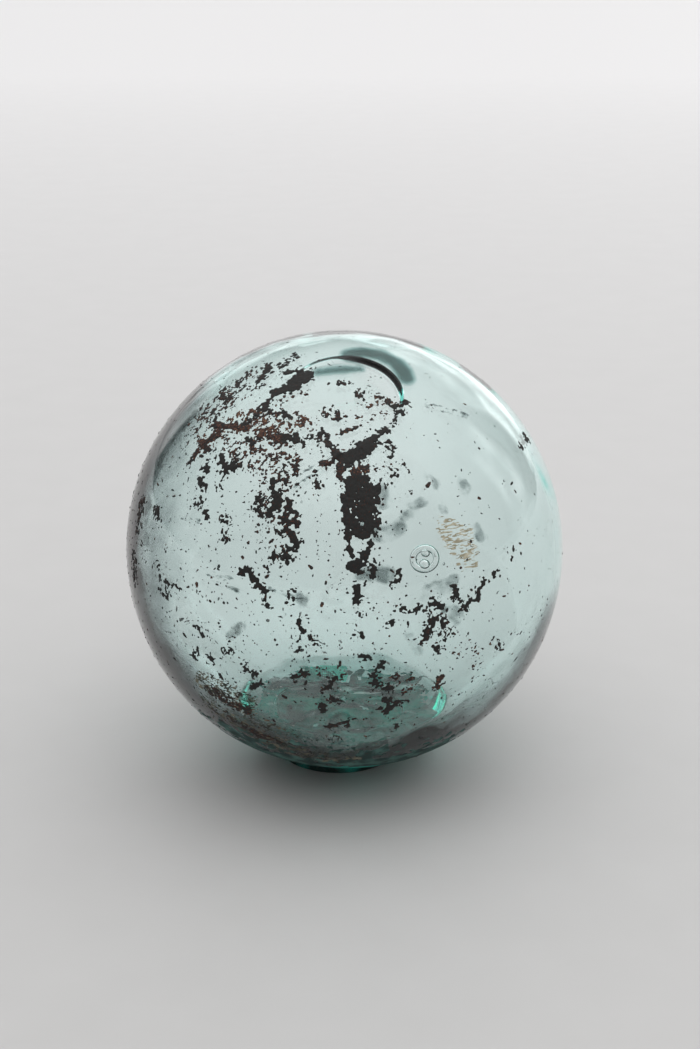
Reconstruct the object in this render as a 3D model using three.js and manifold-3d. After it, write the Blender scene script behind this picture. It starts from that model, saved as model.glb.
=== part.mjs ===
// A hand-blown glass fishing float: one fused body of pale aqua bottle glass, about a hand's width across.
// The hole that the blowpipe left is closed by a thick round seal, pressed flat, and the ball stands on it.
// High on its front a round tool has pressed a shallow dish into it, whose corner runs on into a thin crease.
// Sealed and hollow in life, the body is solid here. Units are millimetres, +Z is up, and the origin is under
// the middle of the ball, on the surface it stands on. Bearings run from the front (-Y) towards +X.
import * as THREE from "three";
import { mergeVertices } from "three/addons/utils/BufferGeometryUtils.js";
import Module from "manifold-3d";

const wasm = await Module();
wasm.setup();

// The ball. Its centre stands a little over one radius up, so that only the seal touches the ground.
const BALL_RADIUS = 50;
const BALL_CENTRE_UP = 50.2;
const BALL_MERIDIANS = 72;
const BALL_RINGS = 38;
const OVAL = 0.25; // how far the waist is out of round
const OVAL_BEARING = 35;
const LOWER_SAG = 0.3; // how much fuller the ball is half way down its lower half

// The seal: a flat pad of glass under the ball, a little to one side of its middle.
const SEAL_RADIUS = 15;
const SEAL_EDGE_ROUND = 1.1;
const SEAL_HEIGHT = 6;
const SEAL_MIDDLE = new THREE.Vector3(-1.4, -0.4, -BALL_CENTRE_UP);
const SEAL_FACETS = 56;

// The dish: a round hollow pressed into the ball, deepest on its upper right, with one drawn-out corner.
const DISH_BEARING = 0;
const DISH_ELEVATION = 62.6;
const DISH_RADIUS = 12.3;
const DISH_SHALLOW = 0.3;
const DISH_DEEP = 1.1;
const DISH_DEEP_TURN = 115; // degrees round from the corner to the deep side
const DISH_EDGE_WIDTH = 1.2;
const DISH_FACETS = 48;
const DISH_RINGS = 6;
const CORNER_REACH = 3.8; // how far the corner stands out past the round outline
const CORNER_SPREAD = 21; // degrees round the dish in which the corner falls to about a third
const TOOL_HEIGHT = 1; // how far the pressing tool stands over the skin

// The crease: a thin raised thread of glass that runs on from the dish's corner down the front of the ball.
const CREASE_END_BEARING = -15.5;
const CREASE_END_ELEVATION = 34.5;
const CREASE_RADIUS = 0.75;
const CREASE_SINK = 0.3; // how far the thread's middle lies under the ball's skin
const CREASE_STEPS = 14;
const CREASE_SIDES = 8;

const EDGE_STEPS = 4;
const WELD_DISTANCE = 1e-4;
const { degToRad, radToDeg, euclideanModulo, lerp, smoothstep } = THREE.MathUtils;

// The unit vector from the ball's centre at a bearing and an elevation, both in degrees.
function direction(bearing, elevation) {
  const level = Math.cos(degToRad(elevation));
  return new THREE.Vector3(
    level * Math.sin(degToRad(bearing)),
    -level * Math.cos(degToRad(bearing)),
    Math.sin(degToRad(elevation)),
  );
}

// The ball's skin, as its distance from the centre: a sphere, slightly oval round the waist and full below.
function skinRadius(unit) {
  const turn = Math.atan2(unit.x, -unit.y) - degToRad(OVAL_BEARING);
  const level = 1 - unit.z ** 2;
  const oval = OVAL * level * Math.cos(2 * turn);
  const sag = unit.z < 0 ? LOWER_SAG * 4 * level * unit.z ** 2 : 0;
  return BALL_RADIUS + oval + sag;
}

// A point on the ball's skin, lifted off it by some height, from the ball's centre.
function onSkin(unit, lift = 0) {
  return unit.clone().multiplyScalar(skinRadius(unit) + lift);
}

// Moves every vertex of a geometry to where a function of its position says.
function reshape(geometry, place) {
  const positions = geometry.getAttribute("position");
  const point = new THREE.Vector3();
  for (let i = 0; i < positions.count; i++) {
    const moved = place(point.fromBufferAttribute(positions, i));
    positions.setXYZ(i, moved.x, moved.y, moved.z);
  }
  return geometry;
}

// A rounded corner of a profile: points on an arc about a centre, between two angles in degrees.
function roundedCorner(centreX, centreY, radius, from, to) {
  return Array.from({ length: EDGE_STEPS + 1 }, (_, i) => {
    const turn = degToRad(lerp(from, to, i / EDGE_STEPS));
    return new THREE.Vector2(centreX + radius * Math.cos(turn), centreY + radius * Math.sin(turn));
  });
}

function ballGeometry() {
  const sphere = new THREE.SphereGeometry(1, BALL_MERIDIANS, BALL_RINGS).rotateX(Math.PI / 2);
  return reshape(sphere, (point) => onSkin(point.normalize()));
}

// The seal is a disc with a rounded lower edge, whose top is buried in the ball.
function sealGeometry() {
  const inner = SEAL_RADIUS - SEAL_EDGE_ROUND;
  const profile = [
    new THREE.Vector2(0, 0),
    ...roundedCorner(inner, SEAL_EDGE_ROUND, SEAL_EDGE_ROUND, -90, 0),
    new THREE.Vector2(inner, SEAL_HEIGHT),
    new THREE.Vector2(0, SEAL_HEIGHT),
  ];
  return new THREE.LatheGeometry(profile, SEAL_FACETS)
    .rotateX(Math.PI / 2)
    .translate(...SEAL_MIDDLE.toArray());
}

// The dish's outline as a share of its radius, at a turn round it in radians. It is 1 all round, except for
// the corner, a sharp point that runs out down the front of the ball.
function dishOutline(turn) {
  const fromCorner = euclideanModulo(turn + Math.PI, 2 * Math.PI) - Math.PI;
  return 1 + (CORNER_REACH / DISH_RADIUS) * Math.exp(-Math.abs(fromCorner) / degToRad(CORNER_SPREAD));
}

// How deep the dish's floor lies, at a turn round it and a distance from its middle. The tool leaned to one
// side.
function dishDepth(turn, distance) {
  const towardsDeep = (distance / DISH_RADIUS) * Math.cos(turn - degToRad(DISH_DEEP_TURN));
  return lerp(DISH_SHALLOW, DISH_DEEP, smoothstep(towardsDeep, 0.15, 0.8));
}

// The tool that presses the dish is drawn flat, as distance from its middle and height: the floor at -1, the
// sloping edge up to the skin at 0, and the tool's own back above it. The turned shape is then wrapped onto
// the ball, and heights under the skin are scaled by the dish's depth.
function dishTool() {
  const floor = DISH_RADIUS - DISH_EDGE_WIDTH;
  const rings = Array.from({ length: DISH_RINGS + 1 }, (_, i) => (floor * i) / DISH_RINGS);
  const edge = Array.from({ length: EDGE_STEPS }, (_, i) => {
    const share = (i + 1) / EDGE_STEPS;
    return new THREE.Vector2(floor + DISH_EDGE_WIDTH * share, smoothstep(share, 0, 1) - 1);
  });
  const profile = [
    ...rings.map((distance) => new THREE.Vector2(distance, -1)),
    ...edge,
    new THREE.Vector2(DISH_RADIUS + DISH_EDGE_WIDTH / 2, TOOL_HEIGHT),
    ...rings.reverse().map((distance) => new THREE.Vector2(distance, TOOL_HEIGHT)),
  ];

  const middle = direction(DISH_BEARING, DISH_ELEVATION);
  const across = new THREE.Vector3(0, 0, 1).cross(middle).normalize();
  const uphill = middle.clone().cross(across);
  return reshape(new THREE.LatheGeometry(profile, DISH_FACETS), (point) => {
    const turn = Math.atan2(point.x, point.z);
    const distance = Math.hypot(point.x, point.z);
    const along = (distance * dishOutline(turn)) / BALL_RADIUS;
    const outward = across.clone().multiplyScalar(Math.sin(turn));
    outward.addScaledVector(uphill, -Math.cos(turn));
    const unit = middle.clone().multiplyScalar(Math.cos(along)).addScaledVector(outward, Math.sin(along));
    return onSkin(unit, point.y < 0 ? point.y * dishDepth(turn, distance) : point.y);
  });
}

// The crease's line is an even sweep of bearing and elevation, from the dish's corner to the crease's end.
class CreaseLine extends THREE.Curve {
  getPoint(t, target = new THREE.Vector3()) {
    const start = DISH_ELEVATION - radToDeg((DISH_RADIUS + CORNER_REACH) / BALL_RADIUS);
    const bearing = lerp(DISH_BEARING, CREASE_END_BEARING, t);
    const elevation = lerp(start, CREASE_END_ELEVATION, t);
    return target.copy(onSkin(direction(bearing, elevation), -CREASE_SINK));
  }
}

function creaseGeometry() {
  const outline = Array.from({ length: CREASE_SIDES }, (_, i) => {
    const turn = (2 * Math.PI * i) / CREASE_SIDES;
    return new THREE.Vector2(CREASE_RADIUS * Math.cos(turn), CREASE_RADIUS * Math.sin(turn));
  });
  return new THREE.ExtrudeGeometry(new THREE.Shape(outline), {
    steps: CREASE_STEPS,
    extrudePath: new CreaseLine(),
    bevelEnabled: false,
  });
}

// A closed geometry as a solid that can be joined to others or cut by them.
function solid(geometry) {
  const bare = new THREE.BufferGeometry().setAttribute("position", geometry.getAttribute("position"));
  if (geometry.index) bare.setIndex(geometry.index);
  const merged = mergeVertices(bare, WELD_DISTANCE);
  return new wasm.Manifold(
    new wasm.Mesh({
      numProp: 3,
      vertProperties: merged.attributes.position.array,
      triVerts: new Uint32Array(merged.index.array),
    }),
  );
}

// A solid's surface as a geometry.
function surface(fused) {
  const mesh = fused.getMesh();
  const geometry = new THREE.BufferGeometry();
  geometry.setAttribute("position", new THREE.BufferAttribute(mesh.vertProperties, 3));
  geometry.setIndex(new THREE.BufferAttribute(mesh.triVerts, 1));
  geometry.computeVertexNormals();
  return geometry;
}

function glassFloat() {
  const ball = solid(ballGeometry());
  const fused = ball.add(solid(sealGeometry())).subtract(solid(dishTool())).add(solid(creaseGeometry()));
  const aquaGlass = new THREE.MeshStandardMaterial({ color: 0xb4d2cc, roughness: 0.06, metalness: 0 });
  const mesh = new THREE.Mesh(surface(fused), aquaGlass);
  mesh.name = "glass_float";
  mesh.position.z = BALL_CENTRE_UP;
  return mesh;
}

const group = new THREE.Group();
group.add(glassFloat());

export default group;
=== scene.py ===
import math

import bpy
import numpy as np
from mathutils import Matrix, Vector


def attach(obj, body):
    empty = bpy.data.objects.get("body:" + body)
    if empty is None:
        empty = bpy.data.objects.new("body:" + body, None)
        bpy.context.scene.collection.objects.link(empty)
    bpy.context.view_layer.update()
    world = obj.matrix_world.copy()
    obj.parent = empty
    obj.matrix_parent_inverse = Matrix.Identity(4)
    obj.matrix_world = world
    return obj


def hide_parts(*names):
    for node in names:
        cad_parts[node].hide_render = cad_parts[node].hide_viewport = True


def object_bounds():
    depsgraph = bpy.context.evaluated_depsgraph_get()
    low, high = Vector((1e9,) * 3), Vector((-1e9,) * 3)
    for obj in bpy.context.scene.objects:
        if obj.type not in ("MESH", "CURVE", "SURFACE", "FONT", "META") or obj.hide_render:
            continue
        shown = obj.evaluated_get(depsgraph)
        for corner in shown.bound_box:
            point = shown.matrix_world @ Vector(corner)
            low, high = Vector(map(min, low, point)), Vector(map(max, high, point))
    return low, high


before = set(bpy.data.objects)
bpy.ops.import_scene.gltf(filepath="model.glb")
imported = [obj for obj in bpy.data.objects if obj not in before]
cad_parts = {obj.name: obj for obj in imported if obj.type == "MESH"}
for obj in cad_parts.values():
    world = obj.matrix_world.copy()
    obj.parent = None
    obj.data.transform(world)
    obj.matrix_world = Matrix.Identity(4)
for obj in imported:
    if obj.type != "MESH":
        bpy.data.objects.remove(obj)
cad_low, cad_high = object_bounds()

# ---------------------------------------------------------------------------------------------------------
# The glass body. One hollow ball of pale aqua bottle glass, blown by mouth: a thin wall that thickens to the
# bottom, a thick flat seal pressed onto the hole that the blowpipe left, and a shallow dish that a round tool
# pressed into the upper front. All of it was shaped hot, so it is one skin outside, one inside.
BALL_RADIUS = (cad_high.z - cad_low.z) / 2.004
BALL_CENTRE = np.array([0.0, 0.0, cad_high.z - BALL_RADIUS])
OVAL = 0.00025
OVAL_BEARING = 35
LOWER_SAG = 0.0012
OUTER_RIPPLE = 0.00006
RIPPLE_ROOM = 0.0001  # how far the rippled skin lies inside the plain one

SEAL_MIDDLE = np.array([-0.0014, -0.0004, -BALL_CENTRE[2]])
SEAL_RADIUS = 0.015
SEAL_EDGE_ROUND = 0.0012
SEAL_FILLET = 0.0008

DISH_RADIUS = 0.0123
DISH_SHALLOW = 0.0003
DISH_DEEP = 0.0011
DISH_DEEP_TURN = 118  # degrees round from the corner to the deep side
DISH_EDGE = 0.00055  # half the width of its sloping edge
CORNER_REACH = 0.0038
CORNER_SPREAD = 21
CREASE_HEIGHT = 0.00045
CREASE_HALF_WIDTH = 0.00055

WALL = 0.0021
WALL_THICKENING = 0.0022
INNER_RIPPLE = 0.00012
SLAB_RADIUS = 0.0224
SLAB_TOP = 0.0382  # how far its top lies under the ball's centre
SLAB_RIPPLE = 0.0004
SLAB_RIM_ROUND = 0.002


def direction(bearing, elevation):
    """Unit vector at a bearing from the front (-Y) towards +X and an elevation, both in degrees."""
    b, e = np.radians(bearing), np.radians(elevation)
    return np.stack([np.cos(e) * np.sin(b), -np.cos(e) * np.cos(b), np.sin(e) + 0 * b], -1)


def unit(vectors):
    """Each vector divided by its own length."""
    return vectors / np.linalg.norm(vectors, axis=-1, keepdims=True)


def smooth_step(edge_0, edge_1, x):
    """0 before edge_0, 1 after edge_1, and 3t^2 - 2t^3 between them."""
    t = np.clip((x - edge_0) / (edge_1 - edge_0), 0, 1)
    return t * t * (3 - 2 * t)


def smooth_max(a, b, blend):
    """The larger of a and b. Within blend of each other they get a fillet, (blend - |a - b|)^2 / 4 blend."""
    near = np.clip(blend - np.abs(a - b), 0, None)
    return np.maximum(a, b) + near * near / (4 * blend)


def smooth_min(a, b, blend):
    """The smaller of a and b, with a rounded corner: the mirror image of smooth_max."""
    return -smooth_max(-a, -b, blend)


def noise(points, size, seed):
    """Smooth noise from -1 to 1: seeded random values on a lattice of cubes, size wide, blended smoothly."""
    count = 32
    lattice = np.random.default_rng(seed).uniform(-1, 1, (count, count, count))
    scaled = np.asarray(points) / size + 1000
    corner = np.floor(scaled).astype(int)
    t = scaled - corner
    t = t * t * (3 - 2 * t)
    total = 0
    for step in np.ndindex(2, 2, 2):
        weight = np.prod(np.where(np.array(step), t, 1 - t), axis=-1)
        x, y, z = np.moveaxis((corner + step) % count, -1, 0)
        total = total + weight * lattice[x, y, z]
    return total


def fractal(points, size, octaves, seed):
    """Sum of octaves of noise, each half the size and half the height of the one before."""
    return sum(noise(points, size / 2**i, seed + i) / 2**i for i in range(octaves))


dish_middle = direction(0.0, 62.6)
seal_way = unit(SEAL_MIDDLE)


def guide(turn, angle):
    """
    Directions on rings round the ball. A ring at a small angle is a circle about the dish, one near 180
    degrees is a circle about the seal, and the rings between lean evenly from one axis to the other.
    """
    lean = smooth_step(30, 155, angle)[..., None]
    axis = unit(dish_middle * (1 - lean) - seal_way * lean)
    side = unit(np.array([1.0, 0, 0]) - axis[..., :1] * axis)
    up = np.cross(axis, side)
    a, t = np.radians(angle)[..., None], turn[..., None]
    return np.cos(a) * axis + np.sin(a) * (np.sin(t) * side - np.cos(t) * up)


def dish_place(way):
    """Distance along the skin from the dish's middle, and the turn round it from its corner, for each way."""
    side = np.array([1.0, 0, 0])
    up = np.cross(dish_middle, side)
    distance = BALL_RADIUS * np.arccos(np.clip(way @ dish_middle, -1, 1))
    return distance, np.arctan2(way @ side, -(way @ up))


def distance_to_line(way, line):
    """Distance along the skin from each way to a line of ways, and how far along it the nearest point is."""
    best = np.full(way.shape[:-1], 9.0)
    along = np.zeros(way.shape[:-1])
    for i, (start, end) in enumerate(zip(line[:-1], line[1:])):
        step = end - start
        t = np.clip((way - start) @ step / (step @ step), 0, 1)
        gap = np.linalg.norm(way - start - t[..., None] * step, axis=-1) * BALL_RADIUS
        along = np.where(gap < best, (i + t) / (len(line) - 1), along)
        best = np.minimum(best, gap)
    return best, along


def outer_skin(way):
    """
    The outside as a distance from the ball's centre: a slightly oval sphere with hand-blown ripples, less the
    dish (a floor that drops to one side, in a sloping edge with one pointed corner), plus the crease that
    runs on from the corner. A fillet joins it to the seal: the smaller of a flat underneath and a round side.
    """
    level = 1 - way[..., 2] ** 2
    turn = np.arctan2(way[..., 0], -way[..., 1])
    skin = BALL_RADIUS - RIPPLE_ROOM + OVAL * level * np.cos(2 * (turn - np.radians(OVAL_BEARING)))
    skin = skin + LOWER_SAG * level * np.where(way[..., 2] < 0, way[..., 2] ** 2, 0)
    skin = skin + OUTER_RIPPLE * fractal(way * BALL_RADIUS, 0.014, 3, 11)

    distance, round_dish = dish_place(way)
    outline = DISH_RADIUS + CORNER_REACH * np.exp(-np.abs(round_dish) / np.radians(CORNER_SPREAD))
    towards_deep = distance / DISH_RADIUS * np.cos(round_dish - np.radians(DISH_DEEP_TURN))
    depth = DISH_SHALLOW + (DISH_DEEP - DISH_SHALLOW) * smooth_step(0.2, 0.8, towards_deep)
    skin = skin - depth * smooth_step(DISH_EDGE, -DISH_EDGE, distance - outline)
    crease = direction(np.linspace(-1.3, -15.5, 5), np.linspace(44.2, 34.5, 5))
    gap, along = distance_to_line(way, crease)
    skin = skin + CREASE_HEIGHT * (1 - 0.6 * along) * np.exp(-((gap / CREASE_HALF_WIDTH) ** 2))

    flat = SEAL_MIDDLE[2] / np.minimum(way[..., 2], -0.2)
    across = np.maximum(np.linalg.norm(way[..., :2], axis=-1), 1e-6)
    facing = way[..., :2] @ SEAL_MIDDLE[:2] / across
    reach = facing + np.sqrt(facing**2 + SEAL_RADIUS**2 - SEAL_MIDDLE[:2] @ SEAL_MIDDLE[:2])
    seal = smooth_min(flat, reach / across, SEAL_EDGE_ROUND)
    fillet = 0.00001 + SEAL_FILLET * smooth_step(0.22, 0.28, across)  # next to none under the flat
    return np.where(way[..., 2] < -0.8, smooth_max(skin, seal, fillet), skin)


def inner_skin(way):
    """
    The inside as a distance from the ball's centre: the wall is taken off the sphere and thickens downwards,
    and over the seal glass stands into the hollow as a flat-topped slab with a rounded rim.
    """
    down = np.clip(-way[..., 2], 0, 1)
    skin = BALL_RADIUS - WALL - WALL_THICKENING * down**5
    skin = skin + INNER_RIPPLE * fractal(way * BALL_RADIUS, 0.016, 3, 23)
    across = np.linalg.norm(way[..., :2], axis=-1)
    turn = np.arctan2(way[..., 0], -way[..., 1])
    slab_top = (SLAB_TOP + SLAB_RIPPLE * fractal(way * BALL_RADIUS, 0.009, 3, 29)) / np.maximum(down, 0.2)
    rim = SLAB_RADIUS + 0.0005 * np.sin(2 * turn + 1.0) + 0.0003 * np.sin(3 * turn)
    fall = np.clip(across * slab_top - rim, 0, None)
    rounding = 1 - np.sqrt(np.clip(1 - (fall / SLAB_RIM_ROUND) ** 2, 0, 1))
    slab = slab_top + SLAB_RIM_ROUND * rounding + 3 * np.clip(fall - SLAB_RIM_ROUND, 0, None)
    return np.where(down > 0.6, smooth_min(skin, slab, 0.001), skin)


def rings(*stretches):
    """Ring angles in degrees: each stretch runs on to its own angle, in its own count of even steps."""
    angles, start = [], 0
    for end, count in stretches:
        angles.extend(start + (end - start) * np.arange(1, count + 1) / count)
        start = end
    return np.array(angles[:-1])


def ball_faces(turns, rows):
    """
    Faces of a closed surface whose vertices are one at its top, rows of as many as turns says, and one at its
    bottom: squares between the rows and a fan of triangles at each end.
    """
    here = np.arange(turns)
    after = (here + 1) % turns
    row = 1 + np.arange(rows - 1)[:, None] * turns
    squares = np.stack([row + here, row + turns + here, row + turns + after, row + after], -1)
    last = 1 + (rows - 1) * turns
    top = np.stack([0 * here, 1 + here, 1 + after], -1)
    bottom = np.stack([last + here, 0 * here + last + turns, last + after], -1)
    return squares.reshape(-1, 4), top, bottom


def closed_skin(angles, turns, skin, inward):
    """
    A closed surface over the guide rings: a vertex at each end and a ring of vertices at each angle between,
    all at skin's distance along their direction. Faces point out, or in for the inside of the wall.
    """
    turn = np.linspace(0, 2 * np.pi, turns, endpoint=False)
    angle_grid, turn_grid = np.meshgrid(angles, turn, indexing="ij")
    ways = guide(turn_grid, angle_grid).reshape(-1, 3)
    ways = np.vstack([dish_middle, ways, seal_way])
    vertices = BALL_CENTRE + ways * skin(ways)[:, None]
    faces = [face for part in ball_faces(turns, len(angles)) for face in part.tolist()]
    if inward:
        faces = [face[::-1] for face in faces]
    return vertices, faces


def ellipsoids(way, depth, radii, turns=14, rows=8):
    """
    Ellipsoids in the glass, one at each direction, some depth under the skin: a sphere of rings scaled by its
    radii across, along and through the wall.
    """
    turn, tilt = np.meshgrid(np.arange(turns) * 2 * np.pi / turns, np.arange(1, rows) * np.pi / rows)
    ball = np.stack([np.sin(tilt) * np.cos(turn), np.sin(tilt) * np.sin(turn), np.cos(tilt)], -1)
    ball = np.vstack([[0, 0, 1], ball.reshape(-1, 3), [0, 0, -1]])
    side = unit(np.cross(way, [0.31, 0.17, 0.93]))
    frames = np.stack([side, np.cross(way, side), way], 1)
    middle = BALL_CENTRE + way * (outer_skin(way) - depth)[:, None]
    vertices = middle[:, None] + np.einsum("kr,nr,nrc->nkc", ball, radii, frames)
    shift = np.arange(len(way))[:, None, None] * len(ball)
    faces = [(shift + part).reshape(-1, part.shape[1]).tolist() for part in ball_faces(turns, rows - 1)]
    return vertices.reshape(-1, 3), sum(faces, [])


def bubbles(way, depth, radii):
    """Ellipsoids of air: their faces point inwards, because the glass ends there."""
    vertices, faces = ellipsoids(way, depth, radii)
    return vertices, [face[::-1] for face in faces]


def ring_bubble(way, depth, ring, across, through, turns=48, sides=12):
    """A blister's rim: an air ring in the wall round one way, oval in section, with its faces inwards."""
    turn = np.arange(turns)[:, None] * 2 * np.pi / turns
    round_section = np.arange(sides) * 2 * np.pi / sides
    side = unit(np.cross([0.0, 0.0, 1.0], way))
    up = np.cross(way, side)
    reach = ring * (1 + 0.07 * np.cos(2 * turn)) + across * np.cos(round_section)
    height = through * np.sin(round_section) - depth
    flat = np.cos(turn)[..., None] * side + np.sin(turn)[..., None] * up
    ways = unit(way + reach[..., None] / BALL_RADIUS * flat)
    vertices = BALL_CENTRE + ways * (outer_skin(ways) + height)[..., None]
    a = np.arange(turns)[:, None] * sides + np.arange(sides)
    b, c = np.roll(a, -1, 0), np.roll(np.roll(a, -1, 0), -1, 1)
    return vertices.reshape(-1, 3), np.stack([a, np.roll(a, -1, 1), c, b], -1).reshape(-1, 4).tolist()


def joined(*parts):
    """Several lists of vertices and faces as one, with each part's faces counted on from the part before."""
    starts = np.cumsum([0] + [len(vertices) for vertices, _ in parts])
    faces = [[start + i for i in face] for start, (_, part) in zip(starts, parts) for face in part]
    return np.vstack([vertices for vertices, _ in parts]), faces


def make_piece(name, vertices, faces, material, smooth=True):
    """A mesh object from vertices and faces, with one material."""
    mesh = bpy.data.meshes.new(name)
    mesh.from_pydata(np.asarray(vertices).tolist(), [], faces)
    mesh.polygons.foreach_set("use_smooth", [smooth] * len(mesh.polygons))
    mesh.materials.append(material)
    mesh.update()
    piece = bpy.data.objects.new(name, mesh)
    bpy.context.scene.collection.objects.link(piece)
    return piece


def new_material(name):
    """A new material, with its nodes, their links and its main shader."""
    material = bpy.data.materials.new(name)
    material.use_nodes = True
    nodes, links = material.node_tree.nodes, material.node_tree.links
    return material, nodes, links, nodes["Principled BSDF"]


def clear_glass(name, colour, density, bend):
    """
    Clear glossy glass that takes out light by its colour, the more the further light goes through it. A bend
    of 1 leaves light's way as it is, for glass within the wall that has no surface of its own.
    """
    material, nodes, links, shader = new_material(name)
    shader.inputs["Base Color"].default_value = (1, 1, 1, 1)
    shader.inputs["Roughness"].default_value = 0.0
    shader.inputs["IOR"].default_value = bend
    shader.inputs["Transmission Weight"].default_value = 1.0
    depth = nodes.new("ShaderNodeVolumeAbsorption")
    depth.inputs["Color"].default_value = (*colour, 1)
    depth.inputs["Density"].default_value = density
    links.new(depth.outputs["Volume"], nodes["Material Output"].inputs["Volume"])
    return material


outer_rings = rings((11.4, 12), (15.2, 30), (19.6, 14), (33, 20), (160.5, 66), (166, 40), (180, 8))
inner_rings = rings((26, 36), (140, 54), (157, 46), (180, 10))
BUBBLE_DEPTH = 0.001
random = np.random.default_rng(41)
seeds = unit(random.normal(size=(90, 3)))
seeds = seeds[seeds[:, 2] > -0.75]
seed_radii = random.uniform(0.00008, 0.00026, (len(seeds), 1)) * [[1.0, 1.5, 0.7]]
blister = direction(20.3, 17.7)
pair = np.array([direction(20.6, 19.0), direction(20.1, 16.5)])
pair_radii = np.array([[0.0010, 0.0008, 0.0003], [0.0012, 0.0010, 0.0004]])
glass = make_piece(
    "glass_body",
    *joined(
        closed_skin(outer_rings, turns=288, skin=outer_skin, inward=False),
        closed_skin(inner_rings, turns=216, skin=inner_skin, inward=True),
        bubbles(seeds, BUBBLE_DEPTH, seed_radii),
        bubbles(pair, BUBBLE_DEPTH, pair_radii),
        ring_bubble(blister, BUBBLE_DEPTH, ring=0.0024, across=0.0007, through=0.00018),
    ),
    clear_glass("aqua_glass", (0.02, 0.955, 0.86), density=42.0, bend=1.52),
)
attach(glass, "root")
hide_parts("glass_float")

# ---------------------------------------------------------------------------------------------------------
# The crust. Tar, rust and scale from the sea have dried on the outside of the glass in runs, islands and lacy
# nets, most of it down the front and over its left shoulder. They are flat flakes, up to a quarter of a
# millimetre thick, black where they are tarry and red-brown where they hold rust.
WEATHERED_SIDE = direction(0.0, 21.5)
MM = 0.001

# Each stroke of crust is its half width in mm, how full it is (1 is whole, 0.5 is half holes), how rusty it
# is, and its line of points, in mm to the right of the weathered side's middle and up from it along the skin.
CORNER_RUN = [
    (0.9, 0.8, 0.2, [(-3.6, 22.8), (-2.2, 20.6), (-1.4, 18.8)]),
    (1.1, 0.5, 0.3, [(-4.6, 23.4), (-3.4, 21.8)]),
    (1.9, 1.0, 0.0, [(1.2, 19.4), (3.4, 20.4), (5.2, 21.9)]),
    (1.0, 1.0, 0.0, [(5.4, 22.6), (9.0, 25.2)]),
    (0.6, 0.8, 0.0, [(9.0, 25.4), (10.4, 26.0), (11.0, 28.2), (12.2, 31.0)]),
    (0.6, 0.9, 0.0, [(11.6, 32.8), (13.8, 33.0)]),
    (0.5, 0.9, 0.0, [(1.0, 18.6), (0.2, 16.4)]),
    (0.9, 0.8, 0.5, [(-1.0, 19.0), (-0.8, 13.6)]),
    (0.7, 0.8, 0.6, [(-4.4, 17.4), (-2.0, 17.8), (-0.9, 16.6)]),
    (0.9, 0.5, 0.7, [(2.8, 15.6), (4.4, 16.6), (6.6, 16.6)]),
    (0.7, 0.5, 0.1, [(9.6, 22.2), (9.2, 19.6)]),
    (0.8, 0.4, 0.3, [(8.6, 16.8), (12.4, 17.2)]),
    (0.8, 0.5, 0.1, [(8.4, 13.8), (10.2, 14.8)]),
    (0.5, 0.7, 0.3, [(-6.2, 16.0), (-5.8, 13.0)]),
    (3.6, 0.84, 0.1, [(2.8, 11.6), (3.6, 5.2)]),
    (1.2, 0.9, 0.1, [(6.4, 12.0), (6.8, 9.6)]),
    (0.8, 1.0, 0.1, [(0.8, 4.0), (1.0, 0.6), (1.6, -1.4)]),
    (0.8, 0.9, 0.0, [(5.4, 0.8), (4.2, -1.8), (2.9, -2.6)]),
    (1.2, 1.0, 0.0, [(1.6, -3.6), (3.0, -3.4)]),
    (0.7, 1.0, 0.0, [(6.0, -3.4), (5.3, -6.0)]),
    (0.4, 0.9, 0.0, [(4.6, -6.6), (3.6, -8.0)]),
    (1.0, 1.0, 0.0, [(2.9, -8.6), (2.3, -10.2)]),
    (0.5, 1.0, 0.0, [(3.2, -13.6), (3.8, -13.4)]),
    (0.6, 1.0, 0.0, [(3.3, -18.4), (4.0, -18.6)]),
    (0.5, 0.9, 0.0, [(3.8, -22.9), (5.2, -23.2)]),
]
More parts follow.
